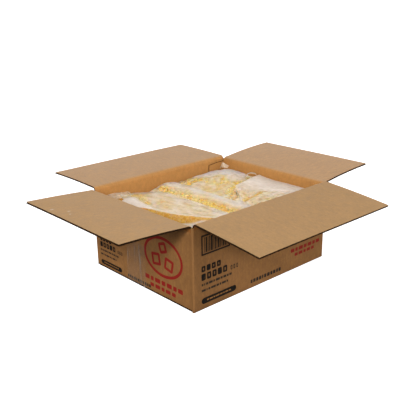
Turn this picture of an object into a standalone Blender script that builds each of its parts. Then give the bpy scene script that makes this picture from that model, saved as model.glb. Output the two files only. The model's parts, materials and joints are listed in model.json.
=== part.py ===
"""An open corrugated carton of diced mango in clear bags.

The carton is a slotted box with four hinged top flaps, folded out almost level. Four pillow bags of
frozen fruit stand in it, side by side. Metres, +Z up, the origin at the middle of the carton's underside.
The wall at -Y is the front, and the wall at -X is the left side.
"""

from math import cos, hypot, pi, radians, sin

import bmesh
import bpy

MM = 0.001

# Carton: outer size of the folded box and its board
LENGTH = 300 * MM
WIDTH = 246 * MM
BOARD = 3.0 * MM
BOTTOM = 2 * BOARD
GAP = 0.3 * MM

# Folds: the short walls' flaps fold in first, so their hinges lie one board lower
SHORT_HINGE_Z = 132.2 * MM
LONG_HINGE_Z = SHORT_HINGE_Z + BOARD + GAP
CREASE_RADIUS = 2.8 * MM
CREASE_STEPS = 15

# Flaps: the two long ones meet over the middle when shut
MEETING_GAP = 1.2 * MM
LONG_FLAP = WIDTH / 2 + GAP - MEETING_GAP / 2
SHORT_FLAP = 120 * MM
SLOT_INSET = 3.5 * MM

# Each flap: name, the way it points, degrees above level as it lies, and whether it is on a long wall
FLAPS = [
    ("flap_right", 0, 4.2, False),
    ("flap_back", 90, 0.4, True),
    ("flap_left", 180, 3.3, False),
    ("flap_front", 270, -5.9, True),
]

# Joint of the blank: a tab of the right wall, glued to the inside of the back wall. It ends below the right
# flap's fold, so that the flap can close over it.
TAB_WIDTH = 39.5 * MM
TAB_THICKNESS = 2.5 * MM
TAB_TOP_Z = SHORT_HINGE_Z - BOARD - GAP
TAB_SHOULDER_Z = TAB_TOP_Z - 2.4 * MM
TAB_SLOPE_WIDTH = 22 * MM

# Seam between the two outer bottom flaps
SEAM_WIDTH = 2 * MM
SEAM_DEPTH = 2.5 * MM

# Bags: clear of the walls and of each other
BAG_CLEARANCE = 0.6 * MM
BAG_CELLS = 14
BAG_SIDE_RADIUS = 10 * MM
BAG_TOP_RADIUS = 9 * MM
LEFT_BAG_X1 = -38 * MM
MIDDLE_BAG_X1 = 19 * MM
BACK_BAG_Y1 = WIDTH / 2 - BOARD - TAB_THICKNESS - BAG_CLEARANCE

# Left bag: a level top that breaks off along an arc, with a lower shelf by the near corner
LEFT_TOP = 118 * MM
LEFT_ARC_X, LEFT_ARC_Y, LEFT_ARC_R = 105 * MM, 54 * MM, 221 * MM
LEFT_DROP, LEFT_DROP_RUN = 10 * MM, 8 * MM
LEFT_SHELF_WIDTH, LEFT_LEVEL_WIDTH = 20 * MM, 14 * MM

# Middle bag: a long ridge from the back wall to the front wall
RIDGE_FOOT, RIDGE_RISE = 111 * MM, 11.5 * MM
RIDGE_X, RIDGE_HALF = -10 * MM, 24 * MM
RIDGE_END_Y, RIDGE_END_RUN, RIDGE_END_DROP = 96 * MM, 22 * MM, 7 * MM

# The two right-hand bags meet along a bent line, given by its corner and its two ends
MEET_CORNER = (66 * MM, 6 * MM)
MEET_START_Y, MEET_END_Y = -52 * MM, 26 * MM
BACK_TOP = 114 * MM
FRONT_TOP = 117 * MM
FRONT_LIP, FRONT_LIP_RUN = 4.5 * MM, 26 * MM

BOARD_COLOUR = (0.47, 0.29, 0.15, 1.0)
BAG_COLOUR = (0.80, 0.66, 0.40, 1.0)


def clear_scene():
    for old in list(bpy.data.objects):
        bpy.data.objects.remove(old, do_unlink=True)


def new_collection(name):
    collection = bpy.data.collections.new(name)
    bpy.context.scene.collection.children.link(collection)
    return collection


def new_material(name, colour, roughness):
    material = bpy.data.materials.new(name)
    material.use_nodes = True
    shader = material.node_tree.nodes["Principled BSDF"]
    shader.inputs["Base Color"].default_value = colour
    shader.inputs["Roughness"].default_value = roughness
    shader.inputs["Metallic"].default_value = 0.0
    material.diffuse_color = colour
    return material


def new_object(name, data, collection, material=None):
    item = bpy.data.objects.new(name, data)
    collection.objects.link(item)
    if material:
        data.materials.append(material)
    return item


def box_mesh(name, low, high):
    """A box between two corners, made from a cube."""
    bm = bmesh.new()
    bmesh.ops.create_cube(bm, size=1.0)
    size = [b - a for a, b in zip(low, high)]
    middle = [(a + b) / 2 for a, b in zip(low, high)]
    bmesh.ops.scale(bm, vec=size, verts=bm.verts)
    bmesh.ops.translate(bm, vec=middle, verts=bm.verts)
    mesh = bpy.data.meshes.new(name)
    bm.to_mesh(mesh)
    bm.free()
    return mesh


def outline_curve(name, points, thickness):
    """A closed flat outline in the local XY plane, thick along local Z."""
    curve = bpy.data.curves.new(name, "CURVE")
    curve.dimensions = "2D"
    curve.fill_mode = "BOTH"
    curve.extrude = thickness / 2
    spline = curve.splines.new("POLY")
    spline.points.add(len(points) - 1)
    for point, (x, y) in zip(spline.points, points):
        point.co = (x, y, 0.0, 1.0)
    spline.use_cyclic_u = True
    return curve


def to_mesh_object(item, collection):
    """Replaces a curve object with its mesh, the caps welded on."""
    evaluated = item.evaluated_get(bpy.context.evaluated_depsgraph_get())
    mesh = bpy.data.meshes.new_from_object(evaluated)
    bm = bmesh.new()
    bm.from_mesh(mesh)
    bmesh.ops.remove_doubles(bm, verts=bm.verts, dist=0.00001)
    bm.to_mesh(mesh)
    bm.free()
    solid = new_object(item.name + "_solid", mesh, collection)
    solid.matrix_world = item.matrix_world
    bpy.data.objects.remove(item, do_unlink=True)
    return solid


def add_boolean(item, other, operation):
    modifier = item.modifiers.new(f"{operation.lower()} {other.name}", "BOOLEAN")
    modifier.operation = operation
    modifier.object = other
    modifier.solver = "EXACT"
    other.display_type = "WIRE"
    other.hide_render = True


def make_carton(parts, cutters, board):
    """Four walls and the closed bottom, one sheet of board."""
    half_x, half_y = LENGTH / 2, WIDTH / 2
    long_wall_z = LONG_HINGE_Z - BOARD - GAP
    short_wall_z = SHORT_HINGE_Z - BOARD - GAP
    above = long_wall_z + 0.02

    walls = box_mesh("carton", (-half_x, -half_y, 0), (half_x, half_y, long_wall_z))
    carton = new_object("carton", walls, parts, board)

    inside = box_mesh(
        "inside",
        (-half_x + BOARD, -half_y + BOARD, BOTTOM),
        (half_x - BOARD, half_y - BOARD, above),
    )
    add_boolean(carton, new_object("inside", inside, cutters), "DIFFERENCE")

    lowered = box_mesh(
        "lowered_ends",
        (-half_x - BOARD, -half_y + BOARD, short_wall_z),
        (half_x + BOARD, half_y - BOARD, above),
    )
    add_boolean(carton, new_object("lowered_ends", lowered, cutters), "DIFFERENCE")

    seam = box_mesh(
        "bottom_seam",
        (-half_x - BOARD, -SEAM_WIDTH / 2, -BOARD),
        (half_x + BOARD, SEAM_WIDTH / 2, SEAM_DEPTH),
    )
    add_boolean(carton, new_object("bottom_seam", seam, cutters), "DIFFERENCE")
    add_boolean(carton, make_tab(cutters), "UNION")
    return carton


def make_tab(cutters):
    """The glued tab, with its sloping shoulder, reaching a little into both walls and the bottom."""
    reach = BOARD / 2
    right = LENGTH / 2 - reach
    left = LENGTH / 2 - BOARD - TAB_WIDTH
    outline = [
        (left, BOTTOM - reach),
        (right, BOTTOM - reach),
        (right, TAB_TOP_Z),
        (left + TAB_SLOPE_WIDTH, TAB_TOP_Z),
        (left, TAB_SHOULDER_Z),
    ]
    thickness = TAB_THICKNESS + reach
    tab = new_object("tab", outline_curve("tab", outline, thickness), cutters)
    tab.rotation_euler = (pi / 2, 0, 0)
    tab.location = (0, WIDTH / 2 - BOARD - TAB_THICKNESS + thickness / 2, 0)
    bpy.context.view_layer.update()
    return to_mesh_object(tab, cutters)


def make_flap(name, facing, tilt, on_long_wall, parts, board):
    """A flap with its fold. Its origin is on the hinge, which runs along the outer paper of the fold.

    The outline is the flap seen from its end: local X points away from the wall, local Y up.
    """
    reach = LONG_FLAP if on_long_wall else SHORT_FLAP
    fold = [
        (CREASE_RADIUS * cos(turn), CREASE_RADIUS * sin(turn))
        for turn in (pi / 2 + 1.5 * pi * i / CREASE_STEPS for i in range(CREASE_STEPS + 1))
    ]
    outline = fold + [(reach, 0), (reach, BOARD), (0, BOARD)]
    wall = LENGTH if on_long_wall else WIDTH
    flap = new_object(name, outline_curve(name, outline, wall - 2 * SLOT_INSET), parts, board)
    hinge_out = (WIDTH if on_long_wall else LENGTH) / 2 + GAP
    turn = radians(facing)
    hinge_z = LONG_HINGE_Z if on_long_wall else SHORT_HINGE_Z
    flap.location = (hinge_out * cos(turn), hinge_out * sin(turn), hinge_z)
    flap.rotation_euler = (pi / 2, -radians(tilt), turn)
    return flap


def smooth(t):
    t = min(max(t, 0.0), 1.0)
    return t * t * (3 - 2 * t)


def mound(x, y, at_x, at_y, spread, height):
    """A round rise that fades to nothing at its spread."""
    return height * smooth(1 - hypot(x - at_x, y - at_y) / spread)


def meeting_y(x):
    """The line on which the two right-hand bags meet."""
    corner_x, corner_y = MEET_CORNER
    end_x = LENGTH / 2 - BOARD
    if x < corner_x:
        share = (x - MIDDLE_BAG_X1) / (corner_x - MIDDLE_BAG_X1)
        return MEET_START_Y + share * (corner_y - MEET_START_Y)
    share = (x - corner_x) / (end_x - corner_x)
    return corner_y + share * (MEET_END_Y - corner_y)


def left_top(x, y):
    past_arc = hypot(x - LEFT_ARC_X, y - LEFT_ARC_Y) - LEFT_ARC_R
    return LEFT_TOP - LEFT_DROP * smooth(past_arc / LEFT_DROP_RUN)


def middle_top(x, y):
    ridge = smooth(1 - abs(x - RIDGE_X) / (2 * RIDGE_HALF))
    ends = smooth((abs(y) - RIDGE_END_Y) / RIDGE_END_RUN)
    return RIDGE_FOOT + RIDGE_RISE * ridge - RIDGE_END_DROP * ends


def back_top(x, y):
    fruit = mound(x, y, 70 * MM, 72 * MM, 70 * MM, 6 * MM)
    frosted = mound(x, y, 122 * MM, 82 * MM, 55 * MM, 6 * MM)
    return BACK_TOP + fruit + frosted


def front_top(x, y):
    lip = smooth(1 - (meeting_y(x) - y) / FRONT_LIP_RUN)
    middle = mound(x, y, 90 * MM, -70 * MM, 80 * MM, 3 * MM)
    return FRONT_TOP + FRONT_LIP * lip + middle


def rounded(box, radius_side, radius_top, point):
    """A point of a box's surface, moved so that the box has round edges."""
    moved, inner = [], []
    for axis, (value, half) in enumerate(zip(point, box)):
        radius = radius_top if axis == 2 and value > 0 else radius_side
        limit = half - min(radius, half * 0.9)
        inner.append((min(max(value, -limit), limit), half - limit))
    offset = [(value - core) / reach for value, (core, reach) in zip(point, inner)]
    length = hypot(*offset)
    for part, (core, reach) in zip(offset, inner):
        moved.append(core + reach * part / length if length else core)
    return moved


def spread_to_edges(t):
    """Moves a grid's inner lines towards its edges, where the form turns."""
    return sin(t * pi / 2) * 0.75 + t * 0.25


def arc_x(y, x_range):
    """Where the left bag's arc crosses a line of one y, kept off the bag's sides."""
    on_arc = LEFT_ARC_X - (LEFT_ARC_R**2 - (y - LEFT_ARC_Y) ** 2) ** 0.5
    return min(max(on_arc, x_range[0] + LEFT_SHELF_WIDTH), x_range[1] - LEFT_LEVEL_WIDTH)


def make_bag(name, x_range, y_low, y_high, top, parts, film, break_x=None):
    """A pillow bag: a gridded cube, rounded, then fitted between its neighbours and under its top.

    The grid's middle line lies at break_x, where the top breaks off, or halfway.
    """
    bm = bmesh.new()
    bmesh.ops.create_cube(bm, size=2.0)
    bmesh.ops.subdivide_edges(bm, edges=bm.edges, cuts=BAG_CELLS - 1, use_grid_fill=True)
    x0, x1 = x_range
    floor = BOTTOM + BAG_CLEARANCE
    middle_x = (x0 + x1) / 2
    half = ((x1 - x0) / 2, (y_high(middle_x) - y_low(middle_x)) / 2, (top(middle_x, 0) - floor) / 2)
    for vert in bm.verts:
        point = [spread_to_edges(t) * h for t, h in zip(vert.co, half)]
        u, v, w = (p / h for p, h in zip(rounded(half, BAG_SIDE_RADIUS, BAG_TOP_RADIUS, point), half))
        x = middle_x + u * half[0]
        if break_x:
            y = (y_low(x) + y_high(x)) / 2 + v * half[1]
            turn_x = break_x(y, x_range)
            x = turn_x + u * (turn_x - x0 if u < 0 else x1 - turn_x)
        low, high = y_low(x), y_high(x)
        y = (low + high) / 2 + v * (high - low) / 2
        z = floor + (w + 1) / 2 * (top(x, y) - floor)
        vert.co = (x, y, z)
    mesh = bpy.data.meshes.new(name)
    bm.to_mesh(mesh)
    bm.free()
    mesh.shade_smooth()
    return new_object(name, mesh, parts, film)


def make_bags(parts):
    film = new_material("bag_film", BAG_COLOUR, 0.3)
    wall_x = LENGTH / 2 - BOARD - BAG_CLEARANCE
    wall_y = WIDTH / 2 - BOARD - BAG_CLEARANCE
    half_gap = BAG_CLEARANCE / 2

    def near_wall(x):
        return -wall_y

    def far_wall(x):
        return wall_y

    def by_tab(x):
        return BACK_BAG_Y1

    def before_meeting(x):
        return meeting_y(x) - half_gap * 2

    def after_meeting(x):
        return meeting_y(x) + half_gap * 2

    left = (-wall_x, LEFT_BAG_X1 - half_gap)
    middle = (LEFT_BAG_X1 + half_gap, MIDDLE_BAG_X1 - half_gap)
    right = (MIDDLE_BAG_X1 + half_gap, wall_x)
    make_bag("bag_left", left, near_wall, far_wall, left_top, parts, film, arc_x)
    make_bag("bag_middle", middle, near_wall, far_wall, middle_top, parts, film)
    make_bag("bag_back_right", right, after_meeting, by_tab, back_top, parts, film)
    make_bag("bag_front_right", right, near_wall, before_meeting, front_top, parts, film)


def main():
    clear_scene()
    parts = new_collection("open carton of bagged mango")
    cutters = new_collection("cutters")
    board = new_material("kraft_board", BOARD_COLOUR, 0.85)
    make_carton(parts, cutters, board)
    for name, facing, tilt, on_long_wall in FLAPS:
        make_flap(name, facing, tilt, on_long_wall, parts, board)
    make_bags(parts)
    bpy.context.view_layer.update()


main()
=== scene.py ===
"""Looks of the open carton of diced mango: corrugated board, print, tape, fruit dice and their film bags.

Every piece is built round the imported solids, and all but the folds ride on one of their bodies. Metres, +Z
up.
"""

import json
from math import cos, pi, radians, sin

import bmesh
import bpy
import numpy as np
from mathutils import Matrix, Vector, noise
from mathutils.bvhtree import BVHTree


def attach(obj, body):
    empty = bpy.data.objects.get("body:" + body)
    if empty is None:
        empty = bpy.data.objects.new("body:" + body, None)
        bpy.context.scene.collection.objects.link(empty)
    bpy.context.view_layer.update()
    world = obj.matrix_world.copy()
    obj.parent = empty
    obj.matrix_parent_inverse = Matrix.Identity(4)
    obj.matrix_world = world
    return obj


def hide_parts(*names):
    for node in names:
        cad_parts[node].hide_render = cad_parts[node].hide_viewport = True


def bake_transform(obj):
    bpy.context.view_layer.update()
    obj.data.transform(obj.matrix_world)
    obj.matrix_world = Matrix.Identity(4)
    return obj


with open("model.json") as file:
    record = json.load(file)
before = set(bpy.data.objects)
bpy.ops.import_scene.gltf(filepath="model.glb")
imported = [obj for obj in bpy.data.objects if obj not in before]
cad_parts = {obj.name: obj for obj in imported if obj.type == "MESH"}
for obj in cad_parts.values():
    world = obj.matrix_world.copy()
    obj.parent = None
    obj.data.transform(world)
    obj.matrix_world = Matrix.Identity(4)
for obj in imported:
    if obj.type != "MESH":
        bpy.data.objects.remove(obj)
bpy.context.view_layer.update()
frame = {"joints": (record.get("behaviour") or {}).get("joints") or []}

MM = 0.001

# Carton, as in the solids
HALF_X, HALF_Y = 150 * MM, 123 * MM
BOARD = 3.0 * MM
SHORT_TOP, LONG_TOP = 132.2 * MM, 135.5 * MM
SLOT_INSET = 3.5 * MM
HINGE_OUT = 0.3 * MM
FOLD_BELOW = 7.2 * MM
FOLD_BEYOND = 9.0 * MM
CORNER_RADIUS = 3.2 * MM
FLOOR_GAP = 0.15 * MM
SEAM_HALF = 0.7 * MM

# Board: two liners and a wavy medium between them
LINER = 0.38 * MM
MEDIUM = 0.26 * MM
FLUTE = 6.2 * MM
FLUTE_STEPS = 8

UP = np.array((0.0, 0.0, 1.0))

# Each flap: the way it points, degrees above level, its length from the hinge, rise of its middle
FLAPS = {
    "right": (0, 4.2, 120 * MM, 1.6 * MM),
    "back": (90, 0.4, 122.7 * MM, 0.8 * MM),
    "left": (180, 3.3, 120 * MM, 0.8 * MM),
    "front": (270, -5.9, 122.7 * MM, 0.6 * MM),
}
# Painted light on each flap: its paper brighter or darker by this share as the lamps meet its tilt, and above
# nought also whitened with a painted sheen
PAINTED_FLAP_LIGHT = {"right": 0.08, "back": 0.04, "left": -0.03, "front": -0.07}
HINGES = {joint["name"].removeprefix("fold_"): np.array(joint["pos_m"]) for joint in frame["joints"]}
LONG_SIDES, SHORT_SIDES = ("front", "back"), ("left", "right")

OUTER, INNER, CUT = 0, 1, 2


# Meshes


def cells(index):
    """The four point numbers round each cell of a grid."""
    corners = [index[:-1, :-1], index[1:, :-1], index[1:, 1:], index[:-1, 1:]]
    return np.stack(corners, axis=-1).reshape(-1, 4).tolist()


class Shells:
    """Collects closed thin shells into one mesh, with their places on the flat sheet."""

    def __init__(self):
        self.points, self.flat, self.faces, self.looks = [], [], [], []

    def slab(self, front, back, flat, front_look=0, back_look=0, side_look=0):
        """Two grids of points, stitched along their borders."""
        one = np.arange(flat[..., 0].size).reshape(flat.shape[:2]) + sum(map(len, self.points))
        other = one + one.size
        self.points += [front.reshape(-1, 3), back.reshape(-1, 3)]
        self.flat += [flat.reshape(-1, 3)] * 2
        sides = [np.stack([one[edge], other[edge]], axis=-1) for edge in (np.s_[:, 0], np.s_[:, -1], 0, -1)]
        for grid, look in [(one, front_look), (other, back_look)] + [(side, side_look) for side in sides]:
            quads = cells(grid)
            self.faces += quads
            self.looks += [look] * len(quads)

    def finish(self, name, materials, sharp=35):
        piece = new_piece(name, self.points, self.faces, materials)
        piece.data.polygons.foreach_set("material_index", self.looks)
        flat = piece.data.attributes.new("flat", "FLOAT_VECTOR", "POINT")
        flat.data.foreach_set("vector", np.concatenate(self.flat).astype(np.float32).ravel())
        piece.data.set_sharp_from_angle(angle=radians(sharp))
        return piece


def new_piece(name, points, faces, materials):
    """A smooth mesh whose faces all look outwards."""
    mesh = bpy.data.meshes.new(name)
    mesh.from_pydata(np.concatenate(points).tolist(), [], faces)
    for material in materials:
        mesh.materials.append(material)
    bm = bmesh.new()
    bm.from_mesh(mesh)
    bmesh.ops.recalc_face_normals(bm, faces=bm.faces)
    bm.to_mesh(mesh)
    bm.free()
    mesh.shade_smooth()
    return link(name, mesh)


def set_value(piece, name, values):
    """A number on every point, which the materials read."""
    attribute = piece.data.attributes.new(name, "FLOAT", "POINT")
    attribute.data.foreach_set("value", np.asarray(values, np.float32).ravel())


def link(name, data):
    item = bpy.data.objects.new(name, data)
    bpy.context.scene.collection.objects.link(item)
    return item


def ride(piece, body="carton"):
    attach(piece, body)
    return piece


def smooth(t):
    t = np.clip(t, 0.0, 1.0)
    return t * t * (3 - 2 * t)


def near(distance, width):
    """1 at no distance, 0 from a width in millimetres on."""
    return smooth(1 - distance / (width * MM))


def beyond(value, start, width):
    """0 up to a start, 1 from a width further on, both in millimetres."""
    return smooth((value - start * MM) / (width * MM))


def mix(a, b, share):
    return a + (b - a) * share


def noise_field(x, y, scale, seed):
    """Smooth noise from about -1 to 1 at each point, with features of one size."""
    places = zip(np.ravel(x) / scale, np.ravel(y) / scale)
    values = [noise.noise(Vector((px, py, seed * 7.31))) for px, py in places]
    return np.array(values).reshape(np.shape(x)) * 1.6


# Materials


class Nodes:
    """Short ways to add nodes. An input is a number, a tuple or another node's socket."""

    def __init__(self, owner):
        owner.use_nodes = True
        self.tree = owner.node_tree

    def put(self, value, socket):
        if isinstance(value, bpy.types.NodeSocket):
            self.tree.links.new(value, socket)
        else:
            socket.default_value = value

    def add(self, kind, inputs=(), **settings):
        node = self.tree.nodes.new(kind)
        for name, value in settings.items():
            setattr(node, name, value)
        for name, value in dict(inputs).items():
            self.put(value, node.inputs[name])
        return node

    def attribute(self, name, output="Fac"):
        return self.add("ShaderNodeAttribute", attribute_name=name).outputs[output]

    def place(self):
        return self.add("ShaderNodeTexCoord").outputs["Object"]

    def noise(self, vector, scale, detail, roughness, y=1.0, z=1.0):
        """A noise; y or z below 1 draws its grain out that way."""
        if (y, z) != (1.0, 1.0):
            stretch = self.add("ShaderNodeVectorMath", {0: vector, 1: (1.0, y, z)}, operation="MULTIPLY")
            vector = stretch.outputs[0]
        inputs = {"Vector": vector, "Scale": scale, "Detail": detail, "Roughness": roughness}
        return self.add("ShaderNodeTexNoise", inputs).outputs["Fac"]

    def ramp(self, value, low, high, to_low=0.0, to_high=1.0):
        inputs = {"Value": value, "From Min": low, "From Max": high, "To Min": to_low, "To Max": to_high}
        return self.add("ShaderNodeMapRange", inputs, interpolation_type="SMOOTHSTEP").outputs["Result"]

    def math(self, operation, a, b=0.5):
        return self.add("ShaderNodeMath", {0: a, 1: b}, operation=operation).outputs[0]

    def product(self, a, b):
        return self.math("MULTIPLY", a, b)

    def total(self, a, b):
        return self.math("ADD", a, b)

    def blend(self, share, a, b, kind="MIX"):
        node = self.add("ShaderNodeMix", {0: share}, data_type="RGBA", blend_type=kind)
        for value, socket in ((a, node.inputs[6]), (b, node.inputs[7])):
            self.put(value if isinstance(value, bpy.types.NodeSocket) else (*value, 1.0), socket)
        return node.outputs[2]


class Paint(Nodes):
    """A material, its shader and the colour so far."""

    def __init__(self, name, roughness, gloss=0.5):
        self.material = bpy.data.materials.new(name)
        super().__init__(self.material)
        self.shader = self.tree.nodes["Principled BSDF"]
        self.set("Roughness", roughness)
        self.set("Specular IOR Level", gloss)

    def set(self, name, value):
        self.put(value, self.shader.inputs[name])

    def cover(self, share, tone):
        self.colour = self.blend(share, self.colour, tone)

    def layers(self, *rows):
        """Tones over the colour so far, each up to a share of it, where its mask runs from low to high."""
        for mask, low, high, share, tone in rows:
            self.cover(self.ramp(mask, low, high, 0.0, share), tone)

    def glow(self, weight, radius, scale):
        """Light that enters spreads inside, as in ice and fruit."""
        for name, value in (("Weight", weight), ("Radius", radius), ("Scale", scale)):
            self.set(f"Subsurface {name}", value)

    def bump(self, height, strength, distance, invert=False):
        node = self.add("ShaderNodeBump", {"Height": height, "Strength": strength, "Distance": distance})
        node.invert = invert
        self.set("Normal", node.outputs[0])

    def done(self):
        self.set("Base Color", self.colour)
        return self.material


def scaled(colour, factor):
    return tuple(c * factor for c in colour)


OUTER_TONE = (0.310, 0.141, 0.043)
INNER_TONE = (0.452, 0.260, 0.106)
# The cut edge: the paper's darker cut fibres, darkened further as painted shade of the hollow flutes
SHADED_CUT_TONE = (0.050, 0.021, 0.006)
# Painted warm bounce light on the inner walls, as a tint of their colour
PAINTED_BOUNCE_WARMTH = (0.97, 0.80, 0.56)
# Painted sheen of the farther flaps, seen at a grazing angle, as a whiter tint of their colour
FLAP_PAINTED_SHEEN = (1.02, 1.045, 1.27)
# Pale rubbed spots on the left flap, place and size
SCUFFS = (
    ((-0.2464, 0.0368, 0.1407), 0.0042),
    ((-0.2608, 0.0585, 0.1416), 0.0045),
    ((-0.2520, 0.0240, 0.1411), 0.0028),
)


def kraft(name, base, dark, pale, roughness, washboard, gloss):
    """Brown paper: cloudy tone, fine fibres, flecks and the faint lines of the flutes beneath."""
    paint = Paint(name, roughness, gloss)
    flat = paint.attribute("flat", "Vector")
    place = paint.place()
    clouds = paint.noise(flat, 22.0, 4.0, 0.6)
    mottle = paint.noise(flat, 170.0, 3.0, 0.6, y=0.45)
    fibres = paint.noise(flat, 1500.0, 2.0, 0.6, y=0.16)
    flecks = paint.noise(flat, 310.0, 2.0, 0.4, y=2.0)
    specks = paint.noise(flat, 430.0, 1.5, 0.5, y=0.6)
    rubs = paint.noise(place, 500.0, 2.0, 0.6)
    along = paint.add("ShaderNodeSeparateXYZ", {0: flat}).outputs[0]
    flutes = paint.math("SINE", paint.product(along, 2 * pi / FLUTE))
    shade, fleck = scaled(dark, 0.80), scaled(dark, 0.45)

    paint.colour = paint.blend(paint.ramp(clouds, 0.3, 0.7), dark, base)
    paint.layers(
        (mottle, 0.45, 0.75, 0.55, pale), (mottle, 0.50, 0.25, 0.55, shade),
        (specks, 0.55, 0.75, 0.45, pale), (specks, 0.45, 0.25, 0.45, shade),
        (fibres, 0.55, 0.75, 0.35, pale), (fibres, 0.42, 0.28, 0.35, dark),
        (flecks, 0.70, 0.76, 0.35, fleck), (flutes, -0.2, 1.0, 0.28 * washboard, dark),
    )
    # Pale along the carton's vertical edges: worn folds, with a painted highlight where the round edge
    # catches the light
    paint.cover(paint.product(paint.attribute("edge_wear_and_highlight"), 0.5), pale)
    # Painted warm bounce light where the paper faces the inside of the carton
    paint.cover(paint.attribute("inside"), paint.blend(1.0, paint.colour, PAINTED_BOUNCE_WARMTH, "MULTIPLY"))
    for spot, size in SCUFFS:
        reach = paint.add("ShaderNodeVectorMath", {0: place, 1: spot}, operation="DISTANCE").outputs["Value"]
        rubbed = paint.product(paint.ramp(reach, size, 0.3 * size), paint.ramp(rubs, 0.42, 0.56))
        paint.cover(paint.product(rubbed, 0.55), (0.72, 0.68, 0.62))
    # Painted light: each flap brighter or darker by its share, whitened with painted sheen above nought, and
    # painted shade on the walls
    painted_light = paint.attribute("painted_light")
    paint.cover(paint.ramp(painted_light, 0.0, 0.05), paint.blend(1.0, paint.colour, FLAP_PAINTED_SHEEN, "MULTIPLY"))
    inputs = {0: paint.colour, "Scale": paint.total(painted_light, 1.0)}
    paint.colour = paint.add("ShaderNodeVectorMath", inputs, operation="SCALE").outputs[0]
    paint.set("Roughness", paint.ramp(mottle, 0.3, 0.7, roughness - 0.06, roughness + 0.08))
    relief = paint.total(paint.product(fibres, 0.35), paint.product(flutes, 0.4 * washboard))
    paint.bump(paint.total(relief, paint.product(mottle, 0.2)), 0.35, 0.00012)
    return paint.done()


def make_board_materials():
    """The outer paper, the inner paper and the cut edge."""
    looks = (
        ("outer", OUTER_TONE, 0.86, 1.35, 0.66, 0.9, 0.25),
        ("inner", INNER_TONE, 0.93, 1.22, 0.60, 0.6, 0.20),
        ("cut", SHADED_CUT_TONE, 0.6, 1.8, 0.85, 0.0, 0.1),
    )
    return [kraft(f"kraft_{name}", tone, scaled(tone, dark), scaled(tone, pale), roughness, washboard, gloss)
            for name, tone, dark, pale, roughness, washboard, gloss in looks]


# Corrugated board


def flat_grid(t, s):
    """A grid of places on the flat sheet, t across the flutes and s along them."""
    t_grid, s_grid = np.meshgrid(t, s, indexing="ij")
    return np.stack([t_grid, s_grid, 0 * t_grid], axis=-1)


def board(shells, faces, t_range, s_values, t_cells):
    """Liners and fluted medium between the outer and the inner face, which faces(t, s) gives over a grid."""
    def layer(t, s, low, high, looks):
        """What lies between two shares of the thickness, each a number or one for every t."""
        flat = flat_grid(t, s)
        outer, inner = faces(flat[..., 0], flat[..., 1])
        low, high = (mix(outer, inner, np.reshape(share, (-1, 1, 1))) for share in (low, high))
        shells.slab(low, high, flat, *looks)

    t_low, t_high = t_range
    t_values = np.linspace(t_low, t_high, t_cells + 1)
    liner, half = LINER / BOARD, MEDIUM / BOARD / 2
    layer(t_values, s_values, 0.0, liner, (OUTER, CUT, CUT))
    layer(t_values, s_values, 1 - liner, 1.0, (CUT, INNER, CUT))

    steps = max(2, round((t_high - t_low) / FLUTE * FLUTE_STEPS))
    fine = np.linspace(t_low, t_high, steps + 1)
    wave = 0.5 + (0.5 - liner - half) * np.sin(2 * pi * fine / FLUTE)
    few = s_values[::max(1, len(s_values) // 5)] if len(s_values) > 6 else s_values
    layer(fine, few, wave - half, wave + half, (CUT, CUT, CUT))


def flap_axes(name):
    """A flap's directions: outwards, away from its outer face, along its fold, and level outwards."""
    facing, tilt, _, _ = FLAPS[name]
    turn, rise = radians(facing), radians(tilt)
    level_out = np.array((cos(turn), sin(turn), 0.0))
    along = np.array((-sin(turn), cos(turn), 0.0))
    return level_out * cos(rise) + UP * sin(rise), UP * cos(rise) - level_out * sin(rise), along, level_out


def flap_half(name):
    return (HALF_X if name in LONG_SIDES else HALF_Y) - SLOT_INSET


def crush(distance, depth, reach):
    """How much thinner the board is near a cut edge."""
    return depth * np.exp(-np.maximum(distance, 0.0) / reach)


RIPPLE = 0.35 * MM


def make_flap(name, looks):
    """A flap's board, from the end of its fold to its far edge."""
    _, _, length, camber = FLAPS[name]
    out, up, along, _ = flap_axes(name)
    hinge = HINGES[name]
    half = flap_half(name)
    # The closed long flaps lie on the short ones, so both leave room for the ripples between them
    lift, thinner = (0.0, RIPPLE) if name in LONG_SIDES else (RIPPLE, 0.0)

    def faces(t, s):
        share = (s - FOLD_BEYOND) / (length - FOLD_BEYOND)
        rise = camber * 4 * share * (1 - share)
        rise = rise + (RIPPLE * np.sin(t / half * 2.1 + s * 20) + lift) * share
        rim = np.minimum(half - np.abs(t), length - s)
        pinch = crush(rim, 0.10 * MM, 1.4 * MM)
        lower = rise + pinch * 0.7
        upper = rise + BOARD - pinch - thinner * share
        base = hinge + out * s[..., None] + along * t[..., None]
        return base + up * lower[..., None], base + up * upper[..., None]

    s_values = [np.linspace(FOLD_BEYOND, length - 8 * MM, 12), length - np.array([4, 2, 0.8, 0]) * MM]
    shells = Shells()
    board(shells, faces, (-half, half), np.concatenate(s_values), 60)
    piece = shells.finish(f"flap_{name}_board", looks)
    # The flap's painted light and painted sheen
    set_value(piece, "painted_light", np.full(len(piece.data.vertices), PAINTED_FLAP_LIGHT[name]))
    ride(piece, f"flap_{name}")
    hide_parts(f"flap_{name}")


FOLD_STEPS = 14
FOLD_REACH = 3.4 * MM


def bezier(a, b, c, d, t):
    """Points of a cubic curve."""
    return a * (1 - t) ** 3 + 3 * b * t * (1 - t) ** 2 + 3 * c * t**2 * (1 - t) + d * t**3


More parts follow.
